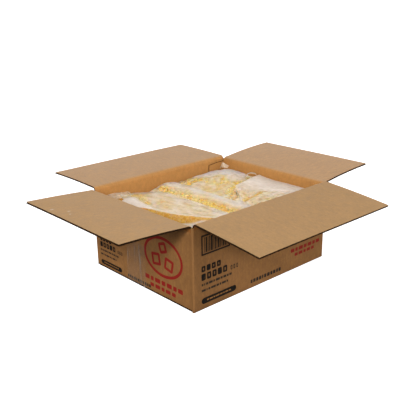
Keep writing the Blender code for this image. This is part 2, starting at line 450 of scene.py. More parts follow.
def fold_profile(name):
    """The fold's section: points (outwards, up) from the hinge, for the inner and the outer paper."""
    rise = radians(FLAPS[name][1])
    out, up = np.array((cos(rise), sin(rise))), np.array((-sin(rise), cos(rise)))
    t = np.linspace(0, 1, FOLD_STEPS)[:, None]
    papers = []
    for across, lift, pull in ((-HINGE_OUT - BOARD, up * BOARD, 0.2 * MM), (-HINGE_OUT, up * 0, -0.4 * MM)):
        wall = [(across, -FOLD_BELOW), (across, -(FOLD_BELOW + FOLD_REACH) / 2)]
        start, lean = np.array((across, -FOLD_REACH)), np.array((across, pull))
        bend = bezier(start, lean, out * 0.4 * MM + lift, out * FOLD_REACH + lift, t)
        papers.append(np.vstack([wall, bend, [out * s + lift for s in (FOLD_BEYOND * 0.65, FOLD_BEYOND)]]))
    return papers


def make_fold(name, looks):
    """The pressed fold between a wall and its flap."""
    _, _, along, level_out = flap_axes(name)
    hinge = HINGES[name]
    half = flap_half(name)
    inner, outer = fold_profile(name)
    t_values = np.linspace(-half, half, 97)
    dents = noise_field(t_values, 0 * t_values, 9 * MM, 3) * 0.16 * MM

    def grid(profile, dent):
        middle = np.sin(np.linspace(0, pi, len(profile)))
        push = dent * dents[:, None] * middle
        o, z = (profile[:, 0] + push)[..., None], (profile[:, 1] - push)[..., None]
        return hinge + level_out * o + along * t_values[:, None, None] + UP * z

    steps = np.hypot(*np.diff(inner, axis=0).T)
    run = np.concatenate([[0], np.cumsum(steps)]) - steps[:2].sum() - steps[2:-2].sum() / 2
    shells = Shells()
    shells.slab(grid(inner, 1.0), grid(outer, 0.0), flat_grid(t_values, run), INNER, OUTER, CUT)
    piece = shells.finish(f"fold_{name}", looks, sharp=50)
    share = np.tile(smooth(np.linspace(1.9, -0.6, len(inner))), 2 * len(t_values))
    # The inner paper of the fold shares the inner walls' painted warm bounce light
    set_value(piece, "inside", share)
    # The flap's painted light, fading out down the fold towards the wall
    set_value(piece, "painted_light", PAINTED_FLAP_LIGHT[name] * (1 - share))
    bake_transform(piece)


# Along a long wall's board: the bottom flap, the bend, then the rise to the fold
FLAT_RUN = HALF_Y - CORNER_RADIUS - SEAM_HALF
BEND_RUN = pi / 2 * CORNER_RADIUS
LONG_RISE = LONG_TOP - FOLD_BELOW - CORNER_RADIUS - FLOOR_GAP


def wall_faces(side):
    """A short wall, or a long wall that runs on round its bottom edge into its bottom flap."""
    sign = -1 if side in ("left", "front") else 1
    if side in SHORT_SIDES:
        def faces(t, z):
            curl = 2.2 * MM * near(z - CORNER_RADIUS, 3) ** 2
            outer = np.stack([sign * (HALF_X - curl), t, z], axis=-1)
            inner = np.stack([sign * (HALF_X - BOARD) + 0 * t, t, z], axis=-1)
            return outer, inner
        return faces

    def faces(t, s):
        def at(depth):
            radius = CORNER_RADIUS - depth
            turn = np.clip((s - FLAT_RUN) / BEND_RUN, 0, 1) * pi / 2
            y = SEAM_HALF + np.minimum(s, FLAT_RUN) + radius * np.sin(turn)
            z = FLOOR_GAP + CORNER_RADIUS - radius * np.cos(turn) + np.maximum(s - FLAT_RUN - BEND_RUN, 0)
            return np.stack([t, sign * y, z], axis=-1)
        return at(0.0), at(BOARD)
    return faces


def make_carton(looks):
    """The walls, the bottom flaps, the posts at the corners and the glued tab."""
    shells = Shells()
    run = FLAT_RUN + BEND_RUN
    short_rows = np.array([3.2, 4.0, 5.0, 6.4]) * MM, np.linspace(12 * MM, SHORT_TOP - FOLD_BELOW, 12)
    long_runs = (0, FLAT_RUN - 5 * MM, 5), (FLAT_RUN, run, 6), (run + 6 * MM, run + LONG_RISE, 12)
    for sides, rows, half, steps in (
        (SHORT_SIDES, short_rows, HALF_Y - CORNER_RADIUS, 40),
        (LONG_SIDES, [np.linspace(*part) for part in long_runs], HALF_X - CORNER_RADIUS, 50),
    ):
        for side in sides:
            board(shells, wall_faces(side), (-half, half), np.concatenate(rows), steps)
    for x_sign, y_sign in ((-1, -1), (-1, 1), (1, -1), (1, 1)):
        make_post(shells, x_sign, y_sign)
    make_tab(shells)
    piece = shells.finish("carton_board", looks)
    x, y, z = np.array([v.co for v in piece.data.vertices]).T
    # Painted shade: darker towards the near corner, above all on the front wall, and along the bottom edge
    corner = near(np.hypot(x + HALF_X, y + HALF_Y), 190) * np.where(y < CORNER_RADIUS - HALF_Y, -0.24, -0.06)
    set_value(piece, "painted_light", corner - 0.22 * np.exp(-z / (3 * MM)))
    x, y = np.abs(x), np.abs(y)
    # Worn vertical edges, with a painted highlight on their round
    set_value(piece, "edge_wear_and_highlight", np.exp(-(np.hypot(x - HALF_X, y - HALF_Y) / (2.6 * MM)) ** 2))
    # Inner walls, which get the painted warm bounce light
    set_value(piece, "inside", (x < HALF_X - BOARD + 0.2 * MM) & (y < HALF_Y - BOARD + 0.2 * MM))
    ride(piece)
    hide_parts("carton")


def make_post(shells, x_sign, y_sign):
    """The bent board at a vertical edge, up to the slot between two flaps."""
    span = pi / 2 * (CORNER_RADIUS - BOARD / 2)

    def faces(t, z):
        def at(radius):
            x = HALF_X - CORNER_RADIUS + radius * np.cos(t / span * pi / 2)
            y = HALF_Y - CORNER_RADIUS + radius * np.sin(t / span * pi / 2)
            return np.stack([x_sign * x, y_sign * y, z], axis=-1)
        return at(CORNER_RADIUS), at(CORNER_RADIUS - BOARD)

    board(shells, faces, (0.0, span), np.linspace(1.4 * MM, SHORT_TOP, 14), 8)


TAB_X0, TAB_X1 = 107.5 * MM, 147 * MM
TAB_TOP, TAB_SHOULDER, TAB_SLOPE = 128.2 * MM, 126.2 * MM, 22 * MM


def make_tab(shells):
    """The glued tab inside the back wall, with its sloping shoulder."""
    def faces(t, share):
        top = mix(TAB_SHOULDER, TAB_TOP, np.clip((t - TAB_X0) / TAB_SLOPE, 0, 1))
        z = mix(60 * MM, top, share)
        thick = 2.4 * MM - crush(t - TAB_X0, 0.7 * MM, 1.2 * MM)
        return [np.stack([t, HALF_Y - BOARD - depth, z], axis=-1) for depth in (0 * t + 0.05 * MM, thick)]

    board(shells, faces, (TAB_X0, TAB_X1), np.linspace(0, 1, 8), 24)


# Print: plain bars and simple shapes on the walls


# Each wall's lower left corner, the way along it and the way out of it
WALLS = {
    "front": ((-HALF_X, -HALF_Y, 0), (1, 0, 0), (0, -1, 0)),
    "back": ((HALF_X, HALF_Y, 0), (-1, 0, 0), (0, 1, 0)),
    "left": ((-HALF_X, HALF_Y, 0), (0, -1, 0), (-1, 0, 0)),
    "right": ((HALF_X, -HALF_Y, 0), (0, 1, 0), (1, 0, 0)),
}


class Ink:
    """Flat prisms just proud of the outer paper, placed in scaled millimetres along and up a wall."""

    THICK = 0.05 * MM

    def __init__(self, proud=0.10 * MM):
        self.bm = bmesh.new()
        self.proud = proud

    def on_wall(self, side, scale, shift=(0.0, 0.0)):
        self.origin, self.right, self.out = (Vector(v) for v in WALLS[side])
        self.scale, self.shift = scale * MM, shift

    def place(self, a, z, depth):
        a, z = (start * MM + value * self.scale for start, value in zip(self.shift, (a, z)))
        return self.origin + self.right * a + Vector((0, 0, z)) + self.out * depth

    def ring(self, outside, inside=None):
        """A filled outline, or the band between two outlines with equally many points."""
        high, low = self.proud, self.proud - self.THICK
        loops = [(outside, high), (outside, low)] + ([(inside, low), (inside, high)] if inside else [])
        loops = [[self.bm.verts.new(self.place(a, z, depth)) for a, z in outline] for outline, depth in loops]
        if inside:
            loops.append(loops[0])
        else:
            self.bm.faces.new(loops[0])
            self.bm.faces.new(loops[1][::-1])
        for one, other in zip(loops, loops[1:]):
            for i in range(len(one)):
                self.bm.faces.new((one[i - 1], other[i - 1], other[i], one[i]))

    def bar(self, a, z, width, height, radius=0.0, turn=0.0, band=0.0):
        """A bar with round corners, turned about its middle, filled or as a band."""
        def outline(inset):
            w, h = width / 2 - inset, height / 2 - inset
            r = min(max(radius - inset, 0.05), w, h)
            made = []
            for corner, (right, up) in enumerate(((1, 1), (-1, 1), (-1, -1), (1, -1))):
                for step in range(5):
                    angle = (corner + step / 4) * pi / 2
                    x, y = (w - r) * right + r * cos(angle), (h - r) * up + r * sin(angle)
                    made.append((a + x * cos(turn) - y * sin(turn), z + x * sin(turn) + y * cos(turn)))
            return made
        self.ring(outline(0.0), outline(band) if band else None)

    def ellipse(self, a, z, wide, high, band):
        """An oval band."""
        def outline(inset):
            turns = [i * pi / 24 for i in range(48)]
            return [(a + (wide - inset) * cos(turn), z + (high - inset) * sin(turn)) for turn in turns]
        self.ring(outline(0.0), outline(band))

    def finish(self, name, material):
        """The prisms as one piece on the carton."""
        mesh = bpy.data.meshes.new(name)
        bmesh.ops.recalc_face_normals(self.bm, faces=self.bm.faces)
        self.bm.to_mesh(mesh)
        self.bm.free()
        mesh.materials.append(material)
        ride(link(name, mesh))


def ink_material(name, tone, thin):
    """Printing ink: the paper's fibres and pores show through a little."""
    paint = Paint(name, 0.7, 0.12)
    place = paint.place()
    paint.colour = tone
    wash, pores = paint.noise(place, 260.0, 3.0, 0.6), paint.noise(place, 1400.0, 2.0, 0.6)
    paint.layers((wash, 0.3, 0.75, 0.35, thin), (pores, 0.62, 0.78, 0.7, OUTER_TONE))
    return paint.done()


def dashes(ink, a, z, height, widths, gap, radius=0.6):
    """A row of bars from its left end."""
    for width in widths:
        ink.bar(a + width / 2, z, width, height, radius)
        a += width + gap


def print_block(black, grey):
    """The block at the left of a wall: bars in a frame, two bold rows, two thin rows and a long pill."""
    black.bar(45, 101.5, 57, 31, 0.8, band=2.5)
    thin_and_thick = (1.2, 2.6, 1.0, 1.8, 3.4, 1.0, 2.2, 1.2, 3.0, 1.6, 1.0, 2.6, 1.8, 1.2, 2.4)
    dashes(black, 22.5, 101.5, 23, thin_and_thick, 1.5, 0.1)
    for i, a in enumerate((20, 30, 40.2, 50.4)):
        black.bar(a, 65.3, 7.6, 9.2, 1.6, band=0.0 if i == 1 else 2.9)
    for i, a in enumerate((20, 30.8, 41.6, 52.4, 63.2)):
        black.bar(a, 52.6, 8.2, 10.6, 1.8, band=0.0 if i in (0, 3) else 3.0)
    for a in (76.5, 82.5, 88.5):
        grey.bar(a, 50.5, 3.6, 7.0, 0.8, band=1.2)
    dashes(grey, 16, 40.6, 3.6, (3.4, 2.0, 4.6, 7.2, 3.0, 8.6, 4.2, 6.0, 3.4, 5.0), 1.5)
    dashes(grey, 16, 31.4, 3.4, (7.8, 2.2, 4.0, 9.4, 5.0, 3.2, 8.0, 3.0), 1.5)
    black.bar(51, 14.6, 71, 9.4, 4.7)


def motif(red):
    """A sign 100 wide and 92 high: three dice in a ring, over two rows of dashes."""
    red.ellipse(50, 59, 47, 34, 5.0)
    for a, z, size, turn in ((33, 52, 21, 0.15), (64, 50, 21, -0.2), (50, 75, 18, 0.32)):
        red.bar(a, z, size, size, 3.2, turn, band=4.6)
    dashes(red, 3, 14.5, 7.6, (11, 7, 13, 9, 12, 8, 11), 3.6, 1.4)
    dashes(red, 16, 3.4, 6.4, (9, 12, 7, 11, 9), 3.6, 1.4)


def make_print():
    """The same print on all four walls, in black, a finer black, red and the paper's own colour."""
    black, grey, red, paper = Ink(), Ink(), Ink(), Ink(proud=0.14 * MM)
    for side in WALLS:
        long_wall = side in LONG_SIDES
        for ink in (black, grey, paper):
            ink.on_wall(side, 1.0 if long_wall else 0.83)
        print_block(black, grey)
        dashes(paper, 26, 14.6, 2.2, (4, 6.5, 3, 8, 5, 3, 6, 4.5), 1.3)
        line_start = 118.5 if long_wall else 106
        dashes(grey, line_start, 12.6, 6.0, (4, 5, 4.5, 5, 3, 5, 6, 4.5, 5.5, 4, 5), 1.9, 1.0)
        red_scale, red_place = (0.80, (211, 24)) if long_wall else (0.96, (131, 12))
        red.on_wall(side, red_scale, red_place)
        motif(red)
    for ink, name, tone, thin in (
        (black, "black", (0.006, 0.005, 0.004), (0.014, 0.010, 0.007)),
        (grey, "fine", (0.022, 0.018, 0.014), (0.050, 0.032, 0.018)),
        (red, "red", (0.270, 0.012, 0.010), (0.300, 0.032, 0.016)),
        (paper, "gaps", OUTER_TONE, scaled(OUTER_TONE, 0.8)),
    ):
        ink.finish(f"print_{name}", ink_material(f"ink_{name}", tone, thin))


# Tape

TAPE_HALF, TAPE_TOP, TAPE_Y = 24 * MM, 74 * MM, 11 * MM
TAPE_THICK = 0.05 * MM


def tape_material():
    """Clear film with faint streaks along it."""
    paint = Paint("clear_tape", 0.22)
    place = paint.place()
    streaks = paint.noise(place, 150.0, 3.0, 0.55, z=0.12)
    haze = paint.noise(place, 45.0, 3.0, 0.6)
    paint.colour = paint.blend(paint.ramp(haze, 0.3, 0.7), (0.40, 0.30, 0.22), (0.62, 0.54, 0.46))
    faint, milky = paint.ramp(streaks, 0.55, 0.75, 0.05, 0.30), paint.ramp(haze, 0.5, 0.8, 0.0, 0.08)
    paint.set("Alpha", paint.total(faint, milky))
    return paint.done()


def make_tape():
    """Clear tape along the bottom seam and up both short walls."""
    x = HALF_X / MM + 0.18
    half = [(x, z) for z in (TAPE_TOP / MM, 60, 45, 30, 18, 10, 6.4)]
    half += [(x - depth, z) for depth, z in ((0.3, 5), (1.5, 4), (2.3, 3), (2.9, 2), (3.1, 1), (3.8, 0.2))]
    half += [(inward, 0.08) for inward in (144, 130, 80, 30)]
    path = np.array([(-x, z) for x, z in half] + half[::-1]) * MM
    width = TAPE_Y + np.linspace(-TAPE_HALF, TAPE_HALF, 13)
    x, y, z = np.broadcast_arrays(path[:, :1], width, path[:, 1:])
    way = np.sign(x) * (z > 0.5 * MM)
    ruffle = np.abs(noise_field(y, z, 14 * MM, 9)) * 0.05 * MM
    x = x + way * ruffle * np.clip(z / (12 * MM), 0, 1)
    z = z + (z > TAPE_TOP - 1 * MM) * 0.7 * MM * np.sin(y * 2600) * np.sin(y * 900)
    outer = np.stack([x, y, z], axis=-1)
    inner = np.stack([x - way * TAPE_THICK, y, z + (way == 0) * 0.03 * MM], axis=-1)
    shells = Shells()
    shells.slab(outer, inner, outer)
    ride(shells.finish("seam_tape", [tape_material()], 60))


# Bags: the solids' tops, repeated

CLEAR = 0.6 * MM
BAG_FLOOR = 6.6 * MM
WALL_X, WALL_Y = HALF_X - BOARD - CLEAR, HALF_Y - BOARD - CLEAR
TAB_Y = HALF_Y - BOARD - 2.5 * MM - CLEAR
EDGE_RADIUS = 9 * MM
# The front edge of the folded film on the front right bag, in millimetres
FOLD_LINE = ((13, -62), (37, -55), (64, -50), (76, -46))


def mound(x, y, at_x, at_y, spread, height):
    """A round rise, its place and sizes in millimetres."""
    return height * MM * near(np.hypot(x - at_x * MM, y - at_y * MM), spread)


def meeting_y(x):
    """The line on which the two right-hand bags meet."""
    corner_x, corner_y, start_x, start_y, end_x, end_y = (v * MM for v in (66, 6, 19, -52, 147, 26))
    before = start_y + (x - start_x) / (corner_x - start_x) * (corner_y - start_y)
    after = corner_y + (x - corner_x) / (end_x - corner_x) * (end_y - corner_y)
    return np.where(x < corner_x, before, after)


def past_arc(x, y):
    """How far a place is beyond the arc along which the left bag steps down."""
    return np.hypot(x - 105 * MM, y - 54 * MM) - 221 * MM


def left_top(x, y):
    return (118 - 10 * beyond(past_arc(x, y), 0, 8)) * MM


def middle_top(x, y):
    return (111 + 11.5 * near(np.abs(x + 10 * MM), 48) - 7 * beyond(np.abs(y), 96, 22)) * MM


def back_top(x, y):
    return 114 * MM + mound(x, y, 70, 72, 70, 6) + mound(x, y, 122, 82, 55, 6)


def front_top(x, y):
    return 117 * MM + 4.5 * MM * near(meeting_y(x) - y, 26) + mound(x, y, 90, -70, 80, 3)


def level(y):
    return lambda x: 0 * x + y


# Each bag: its ends in x, its sides in y and its top
BAGS = {
    "left": (-WALL_X, -38.3 * MM, level(-WALL_Y), level(WALL_Y), left_top),
    "middle": (-37.7 * MM, 18.7 * MM, level(-WALL_Y), level(WALL_Y), middle_top),
    "back_right": (19.3 * MM, WALL_X, lambda x: meeting_y(x) + CLEAR, level(TAB_Y), back_top),
    "front_right": (19.3 * MM, WALL_X, level(-WALL_Y), lambda x: meeting_y(x) - CLEAR, front_top),
}


def rim_distance(name, x, y):
    x0, x1, low, high, _ = BAGS[name]
    return np.minimum(np.minimum(x - x0, x1 - x), np.minimum(y - low(x), high(x) - y))


def back_dip(x, y):
    """The films sink at the back wall, where the left bag meets the ridge."""
    return mound(x, y, -38, 122, 62, 8)


def seam_lift(name, x, y):
    """How far a film rises or falls near its neighbours, so that the films meet at one height."""
    x0, x1, _, _, own = BAGS[name]
    if name == "middle":
        right = np.where(y > meeting_y(x1), back_top(x1, y), front_top(x1, y))
        lift = (left_top(x0, y) - back_dip(x0, y) - own(x0, y)) * near(x - x0, 15)
        return lift + 0.5 * (right - own(x1, y)) * near(x1 - x, 16)
    if name == "back_right":
        line = meeting_y(x)
        return 0.8 * (front_top(x, line) - own(x, line)) * near(y - line, 24)
    return 0.0 * x


def film_form(name, x, y):
    """The film bridges the valleys between bags, and only drops off along the carton's walls."""
    wall = np.minimum(WALL_X - np.abs(x), np.minimum(y + WALL_Y, TAB_Y - y))
    d = np.clip(rim_distance(name, x, y), 0, EDGE_RADIUS)
    drop = EDGE_RADIUS - np.sqrt(np.maximum(EDGE_RADIUS**2 - (EDGE_RADIUS - d) ** 2, 0))
    drop = drop * mix(0.08, 0.6, near(wall - EDGE_RADIUS, 8))
    dip = back_dip(x, y) if name == "left" else 0.0
    return BAGS[name][4](x, y) + seam_lift(name, x, y) - drop - dip


# Where the films cling, fold and are pressed


def near_line(x, y, points, width):
    """How near a place is to a bent line, from 1 on it to 0 at its width, both in millimetres."""
    best = np.full(np.shape(x), 1e9)
    for (ax, ay), (bx, by) in zip(points, points[1:]):
        ax, ay, bx, by = (v * MM for v in (ax, ay, bx, by))
        dx, dy = bx - ax, by - ay
        t = np.clip(((x - ax) * dx + (y - ay) * dy) / (dx * dx + dy * dy), 0, 1)
        best = np.minimum(best, np.hypot(x - ax - t * dx, y - ay - t * dy))
    return near(best, width * (1 + 0.35 * noise_field(x, y, 11 * MM, 31)))


def pressed_band(x, y):
    """The step along the left bag's arc, where the film is pressed smooth onto the fruit."""
    past = past_arc(x, y)
    width = 8.5 * MM - 6.5 * MM * beyond(-y, 44, 28)
    return beyond(past, -1.2, 1.6) * (1 - beyond(past - width, 0, 2))


def pressed_fold(x, y, width):
    """Along the folded film's front edge, on the front right bag."""
    return near_line(x, y - 1.5 * MM, FOLD_LINE, width)


def hump_at(x, y):
    """The white hump of film on the back right mound."""
    return near_line(x, y, ((84, 104), (108, 96), (130, 66)), 36)


def clearness(name, x, y):
    """Where the film clings to the fruit and is clear (1), and where it stands off and is frosted (0)."""
    seed = sum(ord(letter) for letter in name) % 50
    along = 0.4 if name in ("left", "middle") else 1.0
    patches = noise_field(x, y, 24 * MM, seed) * (0.10 if name == "left" else 0.16)
    patches += noise_field(x, y * along, 8.5 * MM, seed + 5) * 0.22
    if name == "left":
        past, band = past_arc(x, y), pressed_band(x, y)
        golden = near_line(x, y, ((-91, 103), (-87, 78), (-100, 46)), 18)
        lip = near(np.abs(past + 3 * MM), 3.5)
        made = 0.26 + patches * (1 - band) + 0.3 * band + 0.36 * golden - 0.3 * lip
        made -= 0.5 * (past > 0) * (1 - band) * (1 - 0.85 * beyond(past, 12, 12))
    elif name == "middle":
        row = near_line(x, y, ((-30, 100), (-28, 0), (-30, -112)), 14.5)
        crest = near(np.abs(x - 3 * MM), 22)
        made = 0.24 + 0.8 * patches - 0.22 * crest + 0.68 * row * (1 + 0.6 * patches)
    elif name == "back_right":
        hump = hump_at(x, y)
        fruit = near_line(x, y, ((30, 98), (54, 88)), 22)
        fruit += near_line(x, y, ((40, -6), (66, 15), (106, 26)), 13)
        made = 0.40 + 1.5 * patches * (1 - 0.6 * hump) + 0.5 * fruit - 0.72 * hump
    else:
        panel = np.maximum(near(meeting_y(x) - y, 46) * beyond(x, 42, 22), beyond(x, 80, 20))
        made = 0.34 + 1.1 * patches * (1 - 0.7 * panel) - 0.26 * panel + 1.2 * pressed_fold(x, y, 4.5)
    return np.clip(made, 0, 1)


def creases(x, y, rng, count, length, width, height):
    """Sharp little ridges of slack film along random lines."""
    total = np.zeros_like(x)
    for _ in range(count):
        cx, cy = rng.uniform(x.min(), x.max()), rng.uniform(y.min(), y.max())
        turn = rng.uniform(0, pi)
        reach = length * rng.uniform(0.5, 1.4)
        bend = rng.normal(0, 6.0)
        a = (x - cx) * cos(turn) + (y - cy) * sin(turn)
        b = -(x - cx) * sin(turn) + (y - cy) * cos(turn) + bend * a * a
        taper = np.clip(1 - np.abs(a) / reach, 0, 1)
        total += height * rng.uniform(0.3, 1.0) * taper * np.exp(-np.abs(b) / (width * (0.4 + taper)))
    return total


def film_relief(name, x, y, rng):
    """Slack, waves and creases of the film where it stands off the fruit."""
    waves = noise_field(x, y, 30 * MM, 21) * 0.6 * MM + noise_field(x, y, 12 * MM, 22) * 0.25 * MM
    creased = creases(x, y, rng, 14, 38 * MM, 2.8 * MM, 0.6 * MM)
    creased += creases(x, y, rng, 40, 16 * MM, 1.6 * MM, 0.2 * MM)
    if name == "front_right":
        creased -= 1.6 * MM * near_line(x, y, FOLD_LINE, 3)
    return waves + creased - 0.5 * MM


# Dice

DIE = 9.5 * MM


def die_shape(rng, segments):
    """One rounded, uneven cube as (points, faces)."""
    bm = bmesh.new()
    bmesh.ops.create_cube(bm, size=1.0)
    size = DIE * rng.uniform(0.80, 1.10, 3)
    for vert in bm.verts:
        vert.co = Vector([c * s * rng.uniform(0.86, 1.06) for c, s in zip(vert.co, size)])
    offset = DIE * rng.uniform(0.14, 0.22)
    bmesh.ops.bevel(bm, geom=bm.edges[:], offset=offset, segments=segments, affect="EDGES", profile=0.6)
    bm.verts.index_update()
    points = np.array([v.co for v in bm.verts])
    faces = [[v.index for v in face.verts] for face in bm.faces]
    bm.free()
    return points, faces


def turn_matrix(rng, upright):
    """A random turn about the vertical, with a small lean for an upright die and any lean for the others."""
    lean = 0.28 if upright else 1.6
    turn = Matrix.Rotation(rng.uniform(0, 2 * pi), 3, "Z")
    for axis in "XY":
        turn = turn @ Matrix.Rotation(rng.normal(0, lean), 3, axis)
    return np.array(turn)


def scatter(name, rng, spacing, depths, inset):
    """Places on a jittered hexagonal grid under a bag's top, deeper where the film stands off."""
    x0, x1, low, high, top = BAGS[name]
    row_gap, jitter, reach = spacing * 0.87, 0.8 * MM, 4.5 * MM
    made = []
    for row in range(int((x1 - x0) / row_gap) + 1):
        x = x0 + inset + row * row_gap
        start, end = float(low(np.array(x))) + inset + (row % 2) * spacing / 2, float(high(np.array(x)))
        y = np.arange(start, end, spacing)
        made += [(x + rng.normal(0, jitter), py + rng.normal(0, jitter)) for py in y]
    x, y = np.array(made).T
    keep = (rim_distance(name, x, y) > inset - 0.6 * MM) & (x < x1)
    x, y = x[keep], y[keep]
    ways = [(0, 0)] + [(reach * cos(turn), reach * sin(turn)) for turn in np.linspace(0, 2 * pi, 9)[:-1]]
    lowest = np.min([top(x + dx, y + dy) for dx, dy in ways] + [film_form(name, x, y)], axis=0)
    shown = clearness(name, x, y) * (0.2 if name == "left" else 1.0)
    z = lowest - mix(*depths, shown) - np.abs(rng.normal(0, 0.5 * MM, x.shape))
    return np.stack([x, y, z], axis=-1)


def make_dice(name, seed, material):
    """A bag's dice: a layer under the film, mostly upright, and a rougher one below it."""
    rng = np.random.default_rng(seed)
    fine = [die_shape(rng, 2) for _ in range(8)]
    plain = [die_shape(rng, 1) for _ in range(5)]
    points, faces, shade, count = [], [], [], 0
    for shapes, spacing, depths, inset, upright in (
        (fine, 9.0 * MM, (7.6 * MM, 6.6 * MM), 4.8 * MM, 0.75),
        (plain, 9.4 * MM, (15 * MM, 13.5 * MM), 7 * MM, 0.0),
    ):
        for place in scatter(name, rng, spacing, depths, inset):
            shape, shape_faces = shapes[rng.integers(len(shapes))]
            points.append(shape @ turn_matrix(rng, rng.random() < upright).T + place)
            faces += [[count + i for i in face] for face in shape_faces]
            # Dice along the left bag's step take the orange end of the tones: painted warm bounce light in
            # the pressed band
            bounce_warmed = name == "left" and past_arc(place[0], place[1]) > -4 * MM
            shade.append(np.full(len(shape), rng.random() * (0.16 if bounce_warmed else 1.0)))
            count += len(shape)
    piece = new_piece(f"dice_{name}", points, faces, [material])
    set_value(piece, "die", np.concatenate(shade))
    return ride(piece)


# From the ripest dice to the palest, and a few ripe ones again
FRUIT_TONES = (
    (0.0, (0.71, 0.40, 0.05)), (0.14, (0.72, 0.46, 0.075)), (0.25, (0.73, 0.52, 0.11)),
    (0.5, (0.73, 0.56, 0.15)), (0.75, (0.74, 0.60, 0.24)), (0.92, (0.75, 0.64, 0.38)),
    (1.0, (0.71, 0.48, 0.11)),
)


def fruit_material():
    """Dice from ripe to pale, with frost and ice crystals on them."""
    paint = Paint("mango_flesh", 0.42)
    paint.glow(0.6, (1.0, 0.6, 0.25), 4 * MM)
    tones = paint.add("ShaderNodeValToRGB", {"Fac": paint.attribute("die")})
    stops = tones.color_ramp.elements
    while len(stops) < len(FRUIT_TONES):
        stops.new(0.5)
    for stop, (at, tone) in zip(stops, FRUIT_TONES):
        stop.position, stop.color = at, (*tone, 1.0)
    place = paint.place()
    flesh, frost = paint.noise(place, 420.0, 3.0, 0.6), paint.noise(place, 130.0, 4.0, 0.65)
    crystals = paint.noise(place, 1500.0, 2.0, 0.6)
    paint.colour = tones.outputs["Color"]
    paint.layers(
        (flesh, 0.35, 0.7, 0.35, (0.82, 0.50, 0.08)), (frost, 0.52, 0.70, 0.45, (0.84, 0.76, 0.55)),
        (crystals, 0.62, 0.72, 0.25, (0.86, 0.82, 0.72)),
    )
    paint.set("Roughness", paint.ramp(frost, 0.4, 0.7, 0.32, 0.6))
    paint.bump(flesh, 0.5, 0.0004)
    return paint.done()


# Films and cores


def widest(values, radius):
    """Each point's highest neighbour within a round reach of some cells."""
    rows, cols = values.shape
    padded = np.pad(values, radius, mode="edge")
    span = range(2 * radius + 1)
    ways = [(i, j) for i in span for j in span if (i - radius) ** 2 + (j - radius) ** 2 <= radius**2]
    return np.max([padded[i:i + rows, j:j + cols] for i, j in ways], axis=0)


def softened(values, spread):
    """Gaussian blur, its spread in cells."""
    reach = int(spread * 2.5) + 1
    kernel = np.exp(-0.5 * (np.arange(-reach, reach + 1) / spread) ** 2)
    kernel /= kernel.sum()
    for _ in ("down", "across"):
        padded = np.pad(values, [(reach, reach), (0, 0)], mode="edge")
        values = np.apply_along_axis(np.convolve, 0, padded, kernel, "valid").T
    return values


def film_material(name, glow, milk):
    """Milky bag film: clear where it clings, white where it stands off, golden where it is pressed."""
    paint = Paint(name, 0.34, 0.14)
    paint.glow(glow, (1.0, 0.7, 0.4), 9 * MM)
    place = paint.place()
    clear, pressed, white = (paint.attribute(label) for label in ("clear", "pressed", "white"))
    frost, haze = paint.noise(place, 200.0, 2.5, 0.6), paint.noise(place, 45.0, 2.5, 0.5)
    crystals = paint.noise(place, 1500.0, 2.0, 0.6)
    folds = paint.noise(place, 150.0, 2.0, 0.5, y=0.55)
    folds = paint.ramp(paint.math("ABSOLUTE", paint.math("SUBTRACT", folds, 0.5)), 0.0, 0.03, 1.0, 0.0)

    uneven = 0.03 + 0.08 * glow
    alpha = paint.ramp(clear, 0.0, 0.9, 0.80, 0.16)
    alpha = paint.total(alpha, paint.ramp(frost, 0.35, 0.65, -uneven, uneven))
    alpha = paint.total(alpha, paint.product(pressed, 0.42))
    alpha = paint.total(alpha, paint.product(white, 0.08))
    paint.set("Alpha", paint.add("ShaderNodeClamp", {"Value": alpha, "Min": 0.12, "Max": 0.93}).outputs[0])

    paint.colour = milk
    paint.layers(
        (clear, 0.02, 0.40, 1.0, (0.68, 0.55, 0.39)), (clear, 0.40, 0.95, 1.0, (0.66, 0.44, 0.13)),
        (haze, 0.35, 0.7, 0.35, scaled(milk, 0.97)),
    )
    paint.cover(white, (0.75, 0.68, 0.65))
    juice = paint.blend(paint.ramp(frost, 0.35, 0.65), (0.565, 0.285, 0.033), (0.64, 0.405, 0.085))
    paint.cover(pressed, juice)
    paint.layers((crystals, 0.60, 0.74, 0.12, (0.72, 0.68, 0.64)))
    paint.cover(paint.product(folds, 0.22), (0.80, 0.76, 0.71))
    paint.bump(folds, 0.35, 0.0003)
    paint.set("Roughness", paint.ramp(frost, 0.3, 0.7, 0.28, 0.46))
    return paint.done()


def core_material():
    """Fruit deep in the bag, seen between the dice."""
    paint = Paint("fruit_core", 0.6)
    lumps = paint.add("ShaderNodeTexVoronoi", {"Vector": paint.place(), "Scale": 110.0}).outputs["Distance"]
    paint.colour = paint.blend(paint.ramp(lumps, 0.1, 0.6), (0.86, 0.58, 0.20), (0.78, 0.40, 0.07))
    paint.bump(lumps, 0.8, 0.003, invert=True)
    return paint.done()


